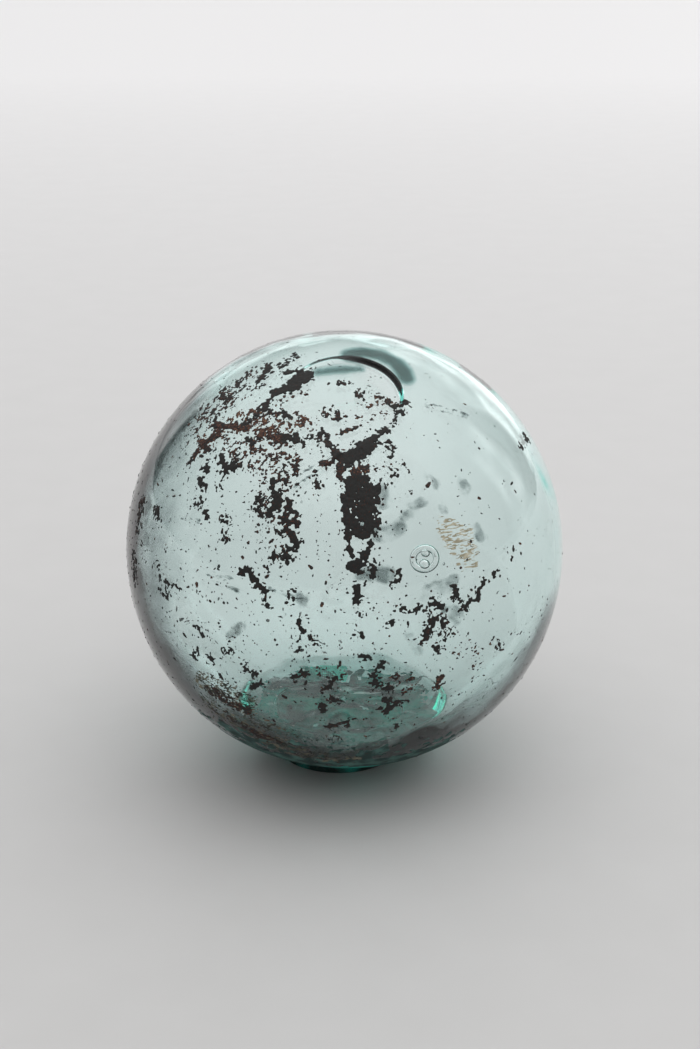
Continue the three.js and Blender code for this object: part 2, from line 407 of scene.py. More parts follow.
LEFT_SHOULDER = [
    (2.1, 1.0, 0.0, [(-9.2, 41.6), (-11.6, 39.6)]),
    (1.5, 1.0, 0.0, [(-11.4, 38.4), (-16.4, 36.2)]),
    (0.8, 0.9, 0.0, [(-8.2, 43.2), (-14.4, 43.2)]),
    (1.2, 0.4, 0.7, [(-14.6, 34.2), (-9.0, 37.4)]),
    (0.7, 0.7, 0.2, [(-17.6, 34.4), (-19.0, 32.0), (-17.0, 31.4)]),
    (0.6, 0.8, 0.1, [(-20.4, 30.8), (-22.6, 27.8)]),
    (1.0, 0.9, 0.2, [(-19.6, 47.0), (-20.2, 44.0), (-21.4, 41.2)]),
    (0.9, 0.45, 0.1, [(-13.0, 50.0), (-15.4, 47.2)]),
    (0.8, 0.55, 0.4, [(-25.0, 47.0), (-29.0, 40.0), (-36.0, 34.4)]),
    (0.7, 0.55, 0.3, [(-24.0, 41.6), (-28.0, 38.4), (-33.0, 34.4)]),
    (0.5, 0.55, 0.3, [(-29.6, 43.0), (-38.0, 35.4)]),
    (1.1, 0.9, 0.7, [(-31.0, 30.2), (-27.0, 28.4), (-22.0, 27.2)]),
    (0.9, 0.9, 0.1, [(-31.4, 31.6), (-31.0, 29.4)]),
    (0.8, 0.9, 0.1, [(-23.2, 28.4), (-21.8, 27.0)]),
    (0.9, 0.75, 0.6, [(-29.4, 27.2), (-33.0, 25.2), (-36.0, 22.4)]),
    (0.5, 0.65, 0.3, [(-36.4, 22.4), (-37.6, 20.0)]),
    (0.5, 0.65, 0.3, [(-34.8, 21.6), (-32.0, 23.2)]),
    (1.4, 0.9, 0.9, [(-18.4, 25.8), (-15.6, 26.2)]),
    (0.9, 0.8, 0.7, [(-16.8, 24.6), (-14.4, 24.0)]),
    (0.5, 0.8, 0.1, [(-21.2, 24.4), (-20.0, 22.8), (-19.0, 24.4)]),
    (0.7, 0.7, 0.1, [(-14.6, 30.2), (-12.2, 29.2)]),
    (1.5, 0.4, 0.9, [(-11.0, 28.4), (-8.8, 28.2)]),
    (0.9, 0.95, 0.1, [(-13.4, 24.2), (-11.0, 24.0), (-8.6, 22.2)]),
    (0.5, 0.6, 0.0, [(-7.6, 24.2), (-5.0, 24.6)]),
    (1.1, 0.6, 0.4, [(-3.6, 29.8), (-1.8, 29.2)]),
    (0.4, 0.8, 0.3, [(-3.6, 38.6), (0.8, 38.4)]),
    (0.5, 0.7, 0.4, [(3.4, 36.6), (5.0, 35.2), (6.6, 34.6)]),
    (0.4, 0.6, 0.4, [(2.8, 35.6), (4.2, 34.4)]),
    (0.5, 0.7, 0.5, [(8.4, 35.2), (10.8, 33.8)]),
    (0.7, 0.7, 0.6, [(-0.6, 24.8), (2.6, 26.2)]),
    (3.4, 0.42, 0.6, [(-20.6, 20.6), (-17.0, 19.6), (-13.0, 18.4)]),
    (1.4, 0.45, 0.5, [(-16.4, 15.0), (-18.0, 17.2)]),
    (1.9, 0.45, 0.4, [(-12.2, 16.0), (-11.6, 13.6)]),
    (0.8, 0.7, 0.4, [(-24.0, 20.6), (-22.8, 18.2)]),
]
LEFT_RUNS = [
    (1.0, 1.0, 0.0, [(-28.0, 21.2), (-26.6, 17.4)]),
    (0.8, 0.9, 0.0, [(-27.2, 18.0), (-24.2, 18.0)]),
    (0.5, 1.0, 0.0, [(-26.6, 16.6), (-27.8, 14.2)]),
    (0.5, 0.8, 0.0, [(-30.0, 22.6), (-28.4, 22.2)]),
    (0.8, 0.9, 0.0, [(-33.2, 18.4), (-31.6, 19.2)]),
    (0.6, 1.0, 0.0, [(-33.0, 15.8), (-32.6, 13.2)]),
    (0.35, 1.0, 0.0, [(-32.7, 13.2), (-32.5, 10.6)]),
    (0.6, 1.0, 0.0, [(-33.8, 9.8), (-32.0, 10.4)]),
    (0.35, 1.0, 0.0, [(-31.2, 6.2), (-30.8, 7.2), (-30.0, 7.4)]),
    (0.35, 1.0, 0.0, [(-26.4, 6.6), (-25.8, 5.4), (-26.4, 3.8)]),
    (0.6, 1.0, 0.0, [(-26.4, 3.6), (-25.8, 2.4)]),
    (0.8, 1.0, 0.0, [(-15.2, 13.8), (-14.8, 11.6)]),
    (1.4, 1.0, 0.1, [(-14.2, 10.6), (-14.0, 9.4)]),
    (0.6, 1.0, 0.1, [(-14.8, 8.6), (-15.8, 6.6)]),
    (0.9, 0.9, 0.2, [(-11.8, 9.8), (-10.8, 7.4)]),
    (0.4, 0.8, 0.1, [(-9.4, 7.0), (-8.2, 6.6)]),
    (0.8, 0.75, 0.2, [(-18.6, 8.6), (-17.2, 7.4)]),
    (0.5, 0.5, 0.1, [(-18.2, 10.0), (-16.4, 10.4)]),
    (1.1, 0.8, 0.4, [(-12.0, 6.0), (-11.4, 3.4)]),
    (0.6, 0.8, 0.4, [(-10.0, 6.4), (-9.6, 3.0)]),
    (1.0, 1.0, 0.1, [(-11.0, 3.2), (-10.2, 1.8)]),
    (0.6, 0.9, 0.0, [(-13.0, 3.0), (-11.8, 3.4)]),
    (0.7, 1.0, 0.0, [(-9.2, 0.6), (-11.2, -0.4)]),
    (0.9, 1.0, 0.0, [(-12.6, -2.2), (-11.4, -1.6)]),
    (0.5, 0.9, 0.0, [(-12.0, -3.4), (-11.8, -2.6)]),
    (0.4, 1.0, 0.0, [(-14.5, -2.4), (-14.3, -1.6)]),
    (0.9, 0.45, 0.1, [(-17.8, -1.0), (-17.4, -3.2)]),
    (0.8, 1.0, 0.0, [(-21.6, -5.2), (-20.4, -4.8)]),
    (0.6, 1.0, 0.0, [(-20.2, -5.0), (-18.2, -6.8)]),
    (0.8, 0.8, 0.0, [(-18.0, -7.8), (-16.4, -9.0)]),
    (0.4, 1.0, 0.0, [(-16.6, -10.8), (-16.4, -11.8)]),
    (0.35, 1.0, 0.0, [(-11.2, -9.2), (-10.6, -10.8)]),
    (1.1, 0.4, 0.2, [(-9.2, -15.6), (-8.0, -20.0)]),
    (0.5, 0.9, 0.1, [(-8.9, -16.9), (-8.2, -17.1)]),
    (1.1, 0.5, 0.3, [(-6.6, -18.8), (-5.6, -20.0)]),
    (0.9, 0.45, 0.1, [(-10.2, -23.4), (-9.0, -23.0)]),
    (1.2, 1.0, 0.1, [(-47.3, 9.8), (-47.0, 7.4)]),
    (1.6, 0.55, 0.4, [(-56.0, 12.0), (-57.0, 5.0)]),
    (1.4, 0.5, 0.2, [(-60.0, -2.0), (-60.0, -10.0)]),
    (0.35, 0.9, 0.0, [(-47.0, -4.0), (-46.0, -6.6), (-43.6, -8.6), (-44.0, -10.8)]),
    (0.3, 0.8, 0.0, [(-46.2, -7.0), (-45.6, -10.4), (-44.2, -12.0)]),
    (0.3, 1.0, 0.0, [(-41.0, -8.6), (-40.0, -9.0)]),
]
LOWER_LEFT = [
    (0.5, 1.0, 0.0, [(-34.4, -18.8), (-33.6, -18.5)]),
    (0.5, 1.0, 0.0, [(-33.2, -20.4), (-32.8, -20.2)]),
    (0.9, 0.6, 0.1, [(-27.6, -23.4), (-26.2, -23.0)]),
    (0.4, 0.65, 0.4, [(-25.6, -19.8), (-26.2, -21.4)]),
    (0.5, 0.8, 0.0, [(-36.0, -25.4), (-35.2, -24.0)]),
    (0.6, 1.0, 0.0, [(-32.4, -26.2), (-31.8, -26.0)]),
    (0.5, 0.6, 0.1, [(-37.6, -27.2), (-36.8, -26.4)]),
    (0.5, 0.9, 0.1, [(-22.4, -26.0), (-22.8, -28.0)]),
    (0.7, 1.0, 0.0, [(-20.6, -28.8), (-20.2, -28.6)]),
    (0.8, 1.0, 0.0, [(-21.2, -32.2), (-19.4, -31.0)]),
    (1.6, 0.6, 0.5, [(-33.6, -35.6), (-29.4, -38.4), (-24.0, -40.0)]),
    (1.3, 0.5, 0.5, [(-35.6, -43.0), (-27.0, -47.0), (-18.0, -51.6)]),
    (0.8, 0.9, 0.1, [(-9.2, -27.0), (-8.4, -27.2)]),
    (0.5, 0.9, 0.1, [(-11.2, -28.2), (-10.8, -28.4)]),
    (0.7, 0.9, 0.1, [(-2.8, -29.5), (-3.6, -30.8)]),
    (0.5, 0.7, 0.1, [(-2.0, -28.6), (-0.5, -28.2)]),
    (0.6, 0.8, 0.1, [(-4.6, -33.3), (-3.6, -33.4)]),
    (0.7, 0.8, 0.1, [(-2.3, -34.4), (-1.6, -34.0)]),
    (0.7, 0.8, 0.1, [(-4.4, -35.8), (-4.9, -37.4)]),
    (0.9, 0.9, 0.3, [(-3.0, -42.0), (0.8, -41.0)]),
    (0.7, 0.5, 0.5, [(-2.0, -45.0), (-2.6, -47.0)]),
]
RIGHT_SIDE = [
    (0.8, 1.0, 0.0, [(8.2, -24.6), (6.6, -26.2)]),
    (0.7, 1.0, 0.0, [(6.4, -26.0), (6.6, -29.2)]),
    (0.7, 1.0, 0.0, [(6.6, -29.5), (8.2, -31.2), (10.6, -31.0)]),
    (0.8, 0.8, 0.1, [(9.6, -38.2), (10.6, -36.3)]),
    (0.5, 0.7, 0.0, [(10.8, -35.2), (14.0, -34.6)]),
    (0.5, 0.8, 0.0, [(9.2, -34.2), (9.8, -34.5)]),
    (0.6, 0.7, 0.2, [(12.2, -43.4), (13.0, -43.4)]),
    (0.7, 1.0, 0.7, [(21.6, -29.6), (21.4, -31.4)]),
    (1.6, 0.4, 0.6, [(13.0, -28.6), (14.0, -32.0)]),
    (0.8, 0.95, 0.2, [(15.2, -12.6), (17.0, -13.2)]),
    (0.8, 1.0, 0.1, [(18.6, -11.4), (20.6, -12.8)]),
    (0.9, 1.0, 0.3, [(19.2, -15.0), (18.6, -17.0), (17.2, -19.2)]),
    (0.5, 0.85, 0.1, [(20.8, -15.0), (21.3, -17.4), (20.2, -19.0)]),
    (0.5, 1.0, 0.0, [(21.2, -19.4), (22.0, -19.6)]),
    (0.5, 1.0, 0.0, [(19.3, -21.4), (19.7, -21.6)]),
    (0.6, 0.95, 0.2, [(23.3, -8.4), (24.0, -9.8)]),
    (0.6, 1.0, 0.2, [(23.8, -10.2), (26.2, -12.8)]),
    (0.5, 0.8, 0.2, [(26.2, -12.6), (27.6, -11.4)]),
    (0.6, 0.95, 0.1, [(29.2, -10.9), (29.6, -9.0)]),
    (0.35, 0.95, 0.1, [(29.6, -9.0), (30.8, -7.2)]),
    (0.3, 1.0, 0.1, [(33.0, -5.4), (33.8, -5.8)]),
    (0.6, 1.0, 0.0, [(10.6, -6.8), (11.4, -6.4)]),
    (0.5, 1.0, 0.0, [(11.0, -5.2), (11.6, -5.6)]),
    (0.7, 1.0, 0.1, [(11.6, -13.0), (12.4, -12.5)]),
    (0.3, 1.0, 0.0, [(9.6, -15.8), (9.8, -15.9)]),
    (0.4, 1.0, 0.3, [(39.2, 0.2), (39.2, -2.0)]),
    (0.4, 0.7, 0.3, [(46.6, 26.6), (47.4, 27.0)]),
    (0.8, 0.7, 0.2, [(52.0, 33.0), (52.4, 31.0)]),
    (0.6, 0.5, 0.2, [(36.0, -21.6), (37.0, -24.0)]),
]


def skin_map(x, y, middle):
    """
    Directions of points on a map of the skin: x mm to the right of its middle and y mm up, both along the
    skin, so that a point's angle from the middle is its distance on the map over the ball's radius.
    """
    side = unit(np.cross([0.0, 0.0, 1.0], middle))
    up = np.cross(middle, side)
    angle = np.hypot(x, y) * MM / BALL_RADIUS
    share = np.sinc(angle / np.pi) * MM / BALL_RADIUS
    return np.cos(angle)[..., None] * middle + share[..., None] * (x[..., None] * side + y[..., None] * up)


def stroke_hold(x, y, strokes, fade):
    """
    How firmly dirt holds at each point of the map, and how rusty it is. Inside a stroke it is the distance in
    mm from its edge, up to 2 * full - 1; outside, it falls by 1 over the fade. The firmest stroke counts.
    """
    hold, rusty = np.full(x.shape, -1.0), np.zeros(x.shape)
    for half_width, full, rust, line in strokes:
        line = np.array(line)
        margin = half_width + fade
        columns = slice(*np.searchsorted(x[0], [line[:, 0].min() - margin, line[:, 0].max() + margin]))
        rows = slice(*np.searchsorted(y[:, 0], [line[:, 1].min() - margin, line[:, 1].max() + margin]))
        here = np.stack([x[rows, columns], y[rows, columns]], -1)
        gap = np.full(here.shape[:2], 99.0)
        for start, end in zip(line[:-1], line[1:]):
            step = end - start
            t = np.clip((here - start) @ step / (step @ step), 0, 1)[..., None]
            gap = np.minimum(gap, np.linalg.norm(here - start - t * step, axis=-1))
        inside = half_width - gap
        firm = np.minimum(np.where(inside < 0, inside / fade, inside), 2 * full - 1)
        better = firm > hold[rows, columns]
        hold[rows, columns] = np.where(better, firm, hold[rows, columns])
        rusty[rows, columns] = np.where(better, rust, rusty[rows, columns])
    return hold, rusty


def contour_triangles(inside):
    """
    Triangles over the part of a grid where inside is above 0. Each square is two triangles. One with all
    three corners inside stays, and one with one or two inside is cut where inside passes 0. Gives the
    triangles, the two grid corners that each vertex lies between, its share of the way from one to the other,
    and the cut's own edges.
    """
    rows, columns = inside.shape
    corner = np.arange(rows * columns).reshape(rows, columns)
    a, b, c, d = corner[:-1, :-1], corner[:-1, 1:], corner[1:, 1:], corner[1:, :-1]
    halves = [np.stack(half, -1).reshape(-1, 3) for half in ((a, b, c), (a, c, d))]
    squares = np.concatenate(halves)
    value = inside.ravel()
    count = (value[squares] > 0).sum(1)

    def turned(pick, first):
        """The picked triangles, each turned to start at its one corner that is inside, or that is not."""
        chosen = squares[pick]
        start = np.argmax((value[chosen] > 0) == first, axis=1)
        return chosen[np.arange(len(chosen))[:, None], (start[:, None] + [0, 1, 2]) % 3]

    def between(chosen, i, j):
        """The grid corners that a vertex on each triangle's edge from corner i to corner j lies between."""
        return np.stack([chosen[:, i], chosen[:, j]], -1)

    whole, one, two = squares[count == 3], turned(count == 1, True), turned(count == 2, False)
    cuts = [
        (between(one, 0, 0), between(one, 0, 1), between(one, 0, 2)),
        (between(two, 0, 1), between(two, 1, 1), between(two, 2, 2)),
        (between(two, 0, 1), between(two, 2, 2), between(two, 0, 2)),
    ]
    cut_edges = [(between(one, 0, 1), between(one, 0, 2)), (between(two, 0, 2), between(two, 0, 1))]
    pairs = np.concatenate([np.stack([whole, whole], -1), *[np.stack(cut, 1) for cut in cuts]])
    rim = np.concatenate([np.stack(edge, 1) for edge in cut_edges])
    ends = np.sort(np.concatenate([pairs.reshape(-1, 2), rim.reshape(-1, 2)]), axis=1)
    known, index = np.unique(ends[:, 0] * corner.size + ends[:, 1], return_inverse=True)
    index = index.ravel()
    low, high = known // corner.size, known % corner.size
    drop = value[low] - value[high]
    share = np.where(low == high, 0, np.clip(value[low] / np.where(drop == 0, 1, drop), 0.08, 0.92))
    triangles, rim = np.split(index, [pairs.size // 2])
    return triangles.reshape(-1, 3), low, high, share, rim.reshape(-1, 2)


def flakes(name, middle, span, strokes, grain, heights, step, seed, material, fade=2.4, stretch=1, soft=0.5):
    """
    Flakes on the skin, as closed bodies on a grid of the given step: where the strokes' hold, plus noise of
    the given grain, is above a bar. The heights over the skin, in mm, are the underside's at the edge and
    inside, then the top's at the edge and inside, reached where the hold is at soft. A stretch over 1 draws
    the grain out level.
    """
    bar, out_of_reach = 0.12, -0.95
    (left, right), (bottom, top) = span
    x, y = np.meshgrid(np.arange(left, right, step), np.arange(bottom, top, step))
    hold, rusty = stroke_hold(x, y, strokes, fade)
    near = hold > out_of_reach
    ways = skin_map(x, y, middle)
    rough = np.zeros(x.shape)
    for size, height in grain:
        drawn = ways[near] * BALL_RADIUS * [1, 1, stretch]
        rough[near] += height * noise(drawn, size * MM, seed + int(100 * size))
    inside = np.where(near, hold + rough - bar, -1.0)
    inside[[0, -1]] = inside[:, [0, -1]] = -1.0
    triangles, low, high, share, rim = contour_triangles(inside)
    way = ways.reshape(-1, 3)
    way = unit(way[low] * (1 - share)[:, None] + way[high] * share[:, None])
    middle_share = smooth_step(0, soft, np.where(low == high, inside.ravel()[low], 0))
    under_edge, under_inside, top_edge, top_inside = (height * MM for height in heights)
    bumps = middle_share * (1 + 0.5 * noise(way * BALL_RADIUS, 0.5 * MM, seed + 7))
    skin = outer_skin(way)
    upper = BALL_CENTRE + way * (skin + top_edge + (top_inside - top_edge) * bumps)[:, None]
    lower = BALL_CENTRE + way * (skin + under_edge + (under_inside - under_edge) * middle_share)[:, None]
    count = len(way)
    wall = np.stack([rim[:, 1], rim[:, 0], rim[:, 0] + count, rim[:, 1] + count], -1)
    faces = [*triangles.tolist(), *(triangles[:, ::-1] + count).tolist(), *wall.tolist()]
    piece = make_piece(name, np.vstack([upper, lower]), faces, material)
    rust = piece.data.attributes.new("rust", "FLOAT", "POINT")
    rust.data.foreach_set("value", np.tile(rusty.ravel()[low], 2).astype(np.float32))
    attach(piece, "root")
    return piece


def noise_cloud(nodes, links, scale, detail=4):
    """The output of a noise texture over a piece, in waves to the metre."""
    place = nodes.new("ShaderNodeTexCoord")
    cloud = nodes.new("ShaderNodeTexNoise")
    cloud.inputs["Scale"].default_value = scale
    cloud.inputs["Detail"].default_value = detail
    links.new(place.outputs["Object"], cloud.inputs["Vector"])
    return cloud.outputs["Fac"]


def shades(nodes, links, value, stops):
    """The colour for a value, blended between stops, which are values with their colours."""
    shade = nodes.new("ShaderNodeValToRGB")
    while len(shade.color_ramp.elements) < len(stops):
        shade.color_ramp.elements.new(0.5)
    for element, (position, colour) in zip(shade.color_ramp.elements, stops):
        element.position = position
        element.color = (*colour, 1)
    links.new(value, shade.inputs["Fac"])
    return shade.outputs["Color"]


def tarry_crust():
    """Matt black tar that turns red-brown where the rust attribute, stirred by fine noise, is high."""
    material, nodes, links, shader = new_material("tarry_crust")
    stir = noise_cloud(nodes, links, 2600)
    amount = nodes.new("ShaderNodeAttribute")
    amount.attribute_name = "rust"
    lean = nodes.new("ShaderNodeMath")
    lean.operation = "MULTIPLY_ADD"
    lean.inputs[1].default_value = 0.22
    links.new(amount.outputs["Fac"], lean.inputs[0])
    links.new(stir, lean.inputs[2])
    stops = [
        (0.60, (0.010, 0.010, 0.009)),
        (0.66, (0.028, 0.012, 0.009)),
        (0.74, (0.078, 0.024, 0.014)),
        (0.88, (0.21, 0.12, 0.065)),
    ]
    links.new(shades(nodes, links, lean.outputs["Value"], stops), shader.inputs["Base Color"])
    relief = nodes.new("ShaderNodeBump")
    relief.inputs["Strength"].default_value = 0.5
    relief.inputs["Distance"].default_value = 0.0001
    links.new(stir, relief.inputs["Height"])
    links.new(relief.outputs["Normal"], shader.inputs["Normal"])
    dull = nodes.new("ShaderNodeMapRange")
    dull.inputs["To Min"].default_value = 0.6
    dull.inputs["To Max"].default_value = 0.95
    links.new(stir, dull.inputs["Value"])
    links.new(dull.outputs["Result"], shader.inputs["Roughness"])
    return material


# A grain is a list of noise sizes in mm, with how much each adds to the hold. The thick crust is made as two
# pieces, which meet left of the middle, where there is hardly any of it.
CRUST_GRAIN = [(2.4, 0.28), (1.2, 0.48), (0.6, 0.58), (0.34, 0.48)]
CRUST_HEIGHTS = (-0.03, -0.03, 0.05, 0.17)
crust = tarry_crust()
all_strokes = CORNER_RUN + LEFT_SHOULDER + LEFT_RUNS + LOWER_LEFT + RIGHT_SIDE
for side, across in (("left", (-66.0, -6.7)), ("right", (-7.1, 58.0))):
    flakes(
        f"crust_{side}", WEATHERED_SIDE, (across, (-58, 56)), all_strokes, CRUST_GRAIN, CRUST_HEIGHTS,
        step=0.17, seed=3, material=crust
    )

# Round the thick runs the crust has broken up into a fine lace, mostly rusty.
lace_strokes = [
    (4.2, 0.45, 0.8, [(-23.0, 24.0), (-17.5, 21.5), (-14.5, 17.5)]),
    (2.4, 0.50, 1.0, [(-33.0, 25.0), (-27.5, 29.0), (-20.0, 30.0), (-13.0, 27.5)]),
    (3.2, 0.38, 0.6, [(-38.0, 30.0), (-30.0, 36.0), (-22.0, 42.0)]),
    (2.0, 0.37, 0.5, [(-19.0, 11.0), (-16.5, 5.0), (-14.0, -1.0)]),
    (2.0, 0.44, 0.9, [(-11.0, 28.4), (-8.0, 27.6)]),
    (2.2, 0.38, 0.8, [(5.0, 30.0), (9.0, 33.0)]),
    (2.2, 0.33, 0.4, [(20.0, -15.0), (23.0, -21.0)]),
    (1.8, 0.33, 0.5, [(-6.0, -24.0), (-3.0, -28.0), (-2.0, -33.0)]),
    (1.8, 0.34, 0.9, [(26.0, -22.0), (30.0, -26.0)]),
    (1.8, 0.26, 0.4, [(-26.0, 6.0), (-23.6, 5.4)]),
]
lace_grain = [(1.5, 0.35), (0.7, 0.7), (0.34, 0.75)]
lace_heights = (-0.03, -0.03, 0.03, 0.09)
lace_span = ((-46, 36), (-42, 50))
flakes(
    "crust_lace", WEATHERED_SIDE, lace_span, lace_strokes, lace_grain, lace_heights,
    step=0.13, seed=13, material=crust, fade=1.6
)


def specks(name, count, seed, material):
    """
    Loose specks of the same dirt: seeded random places, closer together low down, in front and on the left,
    each a low six-sided scale with an uneven outline, a raised middle and its underside just in the glass.
    """
    random = np.random.default_rng(seed)
    way = unit(random.normal(size=(count * 6, 3)))
    likely = np.clip(0.42 - 0.35 * way[:, 0] - 0.3 * way[:, 2] - 0.3 * way[:, 1], 0.05, 1)
    way = way[(random.random(len(way)) < likely) & (way[:, 2] > -0.93)][:count]
    count = len(way)
    side = unit(np.cross(way, random.normal(size=(count, 3))))
    up = np.cross(way, side)
    radius = np.clip(random.lognormal(-1.85, 0.45, count), 0.06, 0.5) * MM
    turn = np.arange(6) * np.pi / 3
    reach = radius[:, None] * random.uniform(0.6, 1.3, (count, 6)) / BALL_RADIUS
    long = 1 + random.random((count, 1)) ** 3 * 1.6
    across, along = reach * np.cos(turn) * long, reach * np.sin(turn)
    ring = unit(way[:, None] + across[..., None] * side[:, None] + along[..., None] * up[:, None])
    rows = np.concatenate([ring, way[:, None], way[:, None]], axis=1)
    lift = np.array([-0.01 * MM] * 6 + [0.0, -0.03 * MM]) + np.zeros((count, 8))
    lift[:, 6] = 0.35 * radius
    vertices = BALL_CENTRE + rows * (outer_skin(rows) + lift)[..., None]
    here = np.arange(6)
    after = (here + 1) % 6
    upper, lower = np.stack([here, after, 0 * here + 6], -1), np.stack([after, here, 0 * here + 7], -1)
    faces = (np.arange(count)[:, None, None] * 8 + np.concatenate([upper, lower])).reshape(-1, 3)
    piece = make_piece(name, vertices.reshape(-1, 3), faces.tolist(), material, smooth=False)
    rust = piece.data.attributes.new("rust", "FLOAT", "POINT")
    rust.data.foreach_set("value", np.repeat(random.random(count) ** 2, 8).astype(np.float32))
    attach(piece, "root")


specks("crust_specks", count=2600, seed=5, material=crust)


# ---------------------------------------------------------------------------------------------------------
# Silt, with painted light and shade. Fine mud has dried on under the ball: dark on the seal's flat and round
# it, and grey-green in a band under the front; these dark films also paint the shade of the ball's shadow,
# seen through the thick bottom. One pale green patch behind the seal is painted light, standing in for light
# that comes through the glass there. It all lies on the outside, and from above it shows through the thick
# glass as a mottled darkness.
def mud_and_painted_light(name, dark, pale, scale):
    """A dull patchy film, a noise cloud between a dark and a pale colour: dried mud, and painted light and
    shade under the ball.
    """
    material, nodes, links, shader = new_material(name)
    cloud = noise_cloud(nodes, links, scale)
    links.new(shades(nodes, links, cloud, [(0.42, dark), (0.66, pale)]), shader.inputs["Base Color"])
    shader.inputs["Roughness"].default_value = 0.9
    return material


def arc(radius, start, end):
    """A line of 16 points round the map's middle at one radius, between two turns in degrees from +x."""
    turn = np.radians(np.linspace(start, end, 16))
    return radius * np.stack([np.cos(turn), np.sin(turn)], -1)


UNDERSIDE = direction(0.0, -89.9)  # a hair off straight down, so that up on its map is towards the front
under_span = ((-44, 44), (-30, 54))
FILM_HEIGHTS = (-0.02, -0.02, 0.005, 0.015)
silt_grain = [(5.0, 0.5), (1.6, 0.5), (0.7, 0.5)]

# The dark film on the seal's flat and round it is silt and painted shade: it darkens the ball's shadow that
# shows through the seal.
seal_strokes = [
    (22.4, 0.93, 0.0, [(-0.5, 6.0), (-0.5, 8.0)]),
    (4.8, 0.84, 0.0, arc(18.0, -68, -15)),
    (4.8, 0.80, 0.0, arc(18.0, 195, 246)),
]
seal_silt_and_shade = mud_and_painted_light("seal_silt_and_shade", (0.004, 0.042, 0.037), (0.03, 0.42, 0.35), 130)
flakes(
    "seal_silt_and_shade", UNDERSIDE, under_span, seal_strokes, silt_grain, FILM_HEIGHTS,
    step=0.4, seed=61, material=seal_silt_and_shade, fade=5
)

# Painted light: a pale green patch in the gap that the dark film leaves behind the seal, for the light that
# comes through the glass there.
gap_strokes = [(3.4, 1.0, 0.0, [(-5.0, -19.5), (-1.5, -20.0)])]
gap_grain = [(4.0, 0.4), (1.6, 0.4)]
painted_light_patch = mud_and_painted_light("painted_light_patch", (0.08, 0.80, 0.66), (0.20, 0.92, 0.80), 200)
flakes(
    "painted_light_patch", UNDERSIDE, under_span, gap_strokes, gap_grain, FILM_HEIGHTS,
    step=0.3, seed=67, material=painted_light_patch, fade=3
)

# The band under the front is grey-green mud, and painted shade as well: it darkens the lower front rim, where
# the ball's shadow shows through the thick bottom.
front_strokes = [(4.6, 0.80, 0.0, arc(34.5, 25, 155)), (4.2, 0.52, 0.0, arc(42.5, 50, 150))]
front_mud_and_shade = mud_and_painted_light("front_mud_and_shade", (0.013, 0.040, 0.036), (0.075, 0.17, 0.15), 300)
flakes(
    "front_mud_and_shade", UNDERSIDE, under_span, front_strokes, silt_grain, FILM_HEIGHTS,
    step=0.4, seed=63, material=front_mud_and_shade, fade=4
)

# ---------------------------------------------------------------------------------------------------------
# Wiped film. Right of the front's middle, where the ball was wiped, a thin film of beige dust is left on the
# glass, in short level streaks.
film_strokes = [
    (2.6, 0.52, 0.0, [(22.6, 3.4), (25.6, 0.4), (26.4, -1.8)]),
    (1.4, 0.34, 0.0, [(20.6, 5.0), (26.0, 3.6)]),
]
film_span = ((14, 34), (-8, 12))
film_grain = [(2.4, 0.3), (0.8, 1.0)]
film = mud_and_painted_light("wiped_film", (0.34, 0.31, 0.22), (0.60, 0.56, 0.43), 900)
flakes(
    "wiped_film", WEATHERED_SIDE, film_span, film_strokes, film_grain, FILM_HEIGHTS,
    step=0.1, seed=83, material=film, fade=1.2, stretch=5
)

# ---------------------------------------------------------------------------------------------------------
# Olive mud. Low on the left, coarse olive-brown mud has dried on in a band that runs on, thinner, under the
# front. It is a broken film, like the silt.
mud_strokes = [
    (3.2, 0.56, 0.0, [(-35.0, -34.0), (-29.0, -35.8), (-24.0, -37.0)]),
    (2.8, 0.50, 0.0, [(-36.0, -42.0), (-28.0, -47.0), (-18.0, -53.0), (-9.0, -57.0), (2.0, -59.0)]),
    (2.0, 0.40, 0.0, [(-24.0, -42.0), (-14.0, -48.0)]),
]
mud_span = ((-44, 8), (-66, -26))
mud_grain = [(2.6, 0.3), (1.0, 0.4), (0.36, 0.9)]
mud = mud_and_painted_light("olive_mud", (0.03, 0.034, 0.026), (0.20, 0.18, 0.125), 420)
flakes(
    "olive_mud", WEATHERED_SIDE, mud_span, mud_strokes, mud_grain, FILM_HEIGHTS,
    step=0.18, seed=87, material=mud, stretch=1.7
)


# ---------------------------------------------------------------------------------------------------------
# Painted shade by the dish. Two streaks of greener, denser glass lie in the wall by the dish, one along the
# outside of its deep edge and one inside its upper left: they paint the dark teal crescents of shade that
# show through the dish's edge. They end in the wall, so they are thin lenses within it.
def lenses(name, middle, span, strokes, grain, heights, **how):
    """Flakes that lie wholly within the wall, as lenses of another glass: all their heights are below 0."""
    piece = flakes(name, middle, span, strokes, grain, heights, **how)


crescent_shade_strokes = [
    (3.2, 1.6, 0.0, [(1.6, 49.9), (4.8, 50.9), (9.6, 50.2), (13.2, 47.2), (14.9, 43.6), (15.2, 41.8)]),
    (1.9, 1.4, 0.0, [(-6.2, 42.9), (-3.5, 43.3), (0.0, 43.8), (4.0, 44.6)]),
]
crescent_shade_span = ((-14, 26), (34, 60))
crescent_shade_grain = [(4.0, 0.35), (1.6, 0.2)]
crescent_shade_heights = (-0.5, -0.85, -0.45, -0.2)
# Dense green glass that paints the dark teal crescents of shade.
crescent_shade_glass = clear_glass("crescent_shade_glass", (0.0, 0.36, 0.34), density=4200, bend=1.0)
lenses(
    "crescent_shade_lenses", WEATHERED_SIDE, crescent_shade_span, crescent_shade_strokes, crescent_shade_grain, crescent_shade_heights,
    step=0.3, seed=91, material=crescent_shade_glass, soft=2.6
)
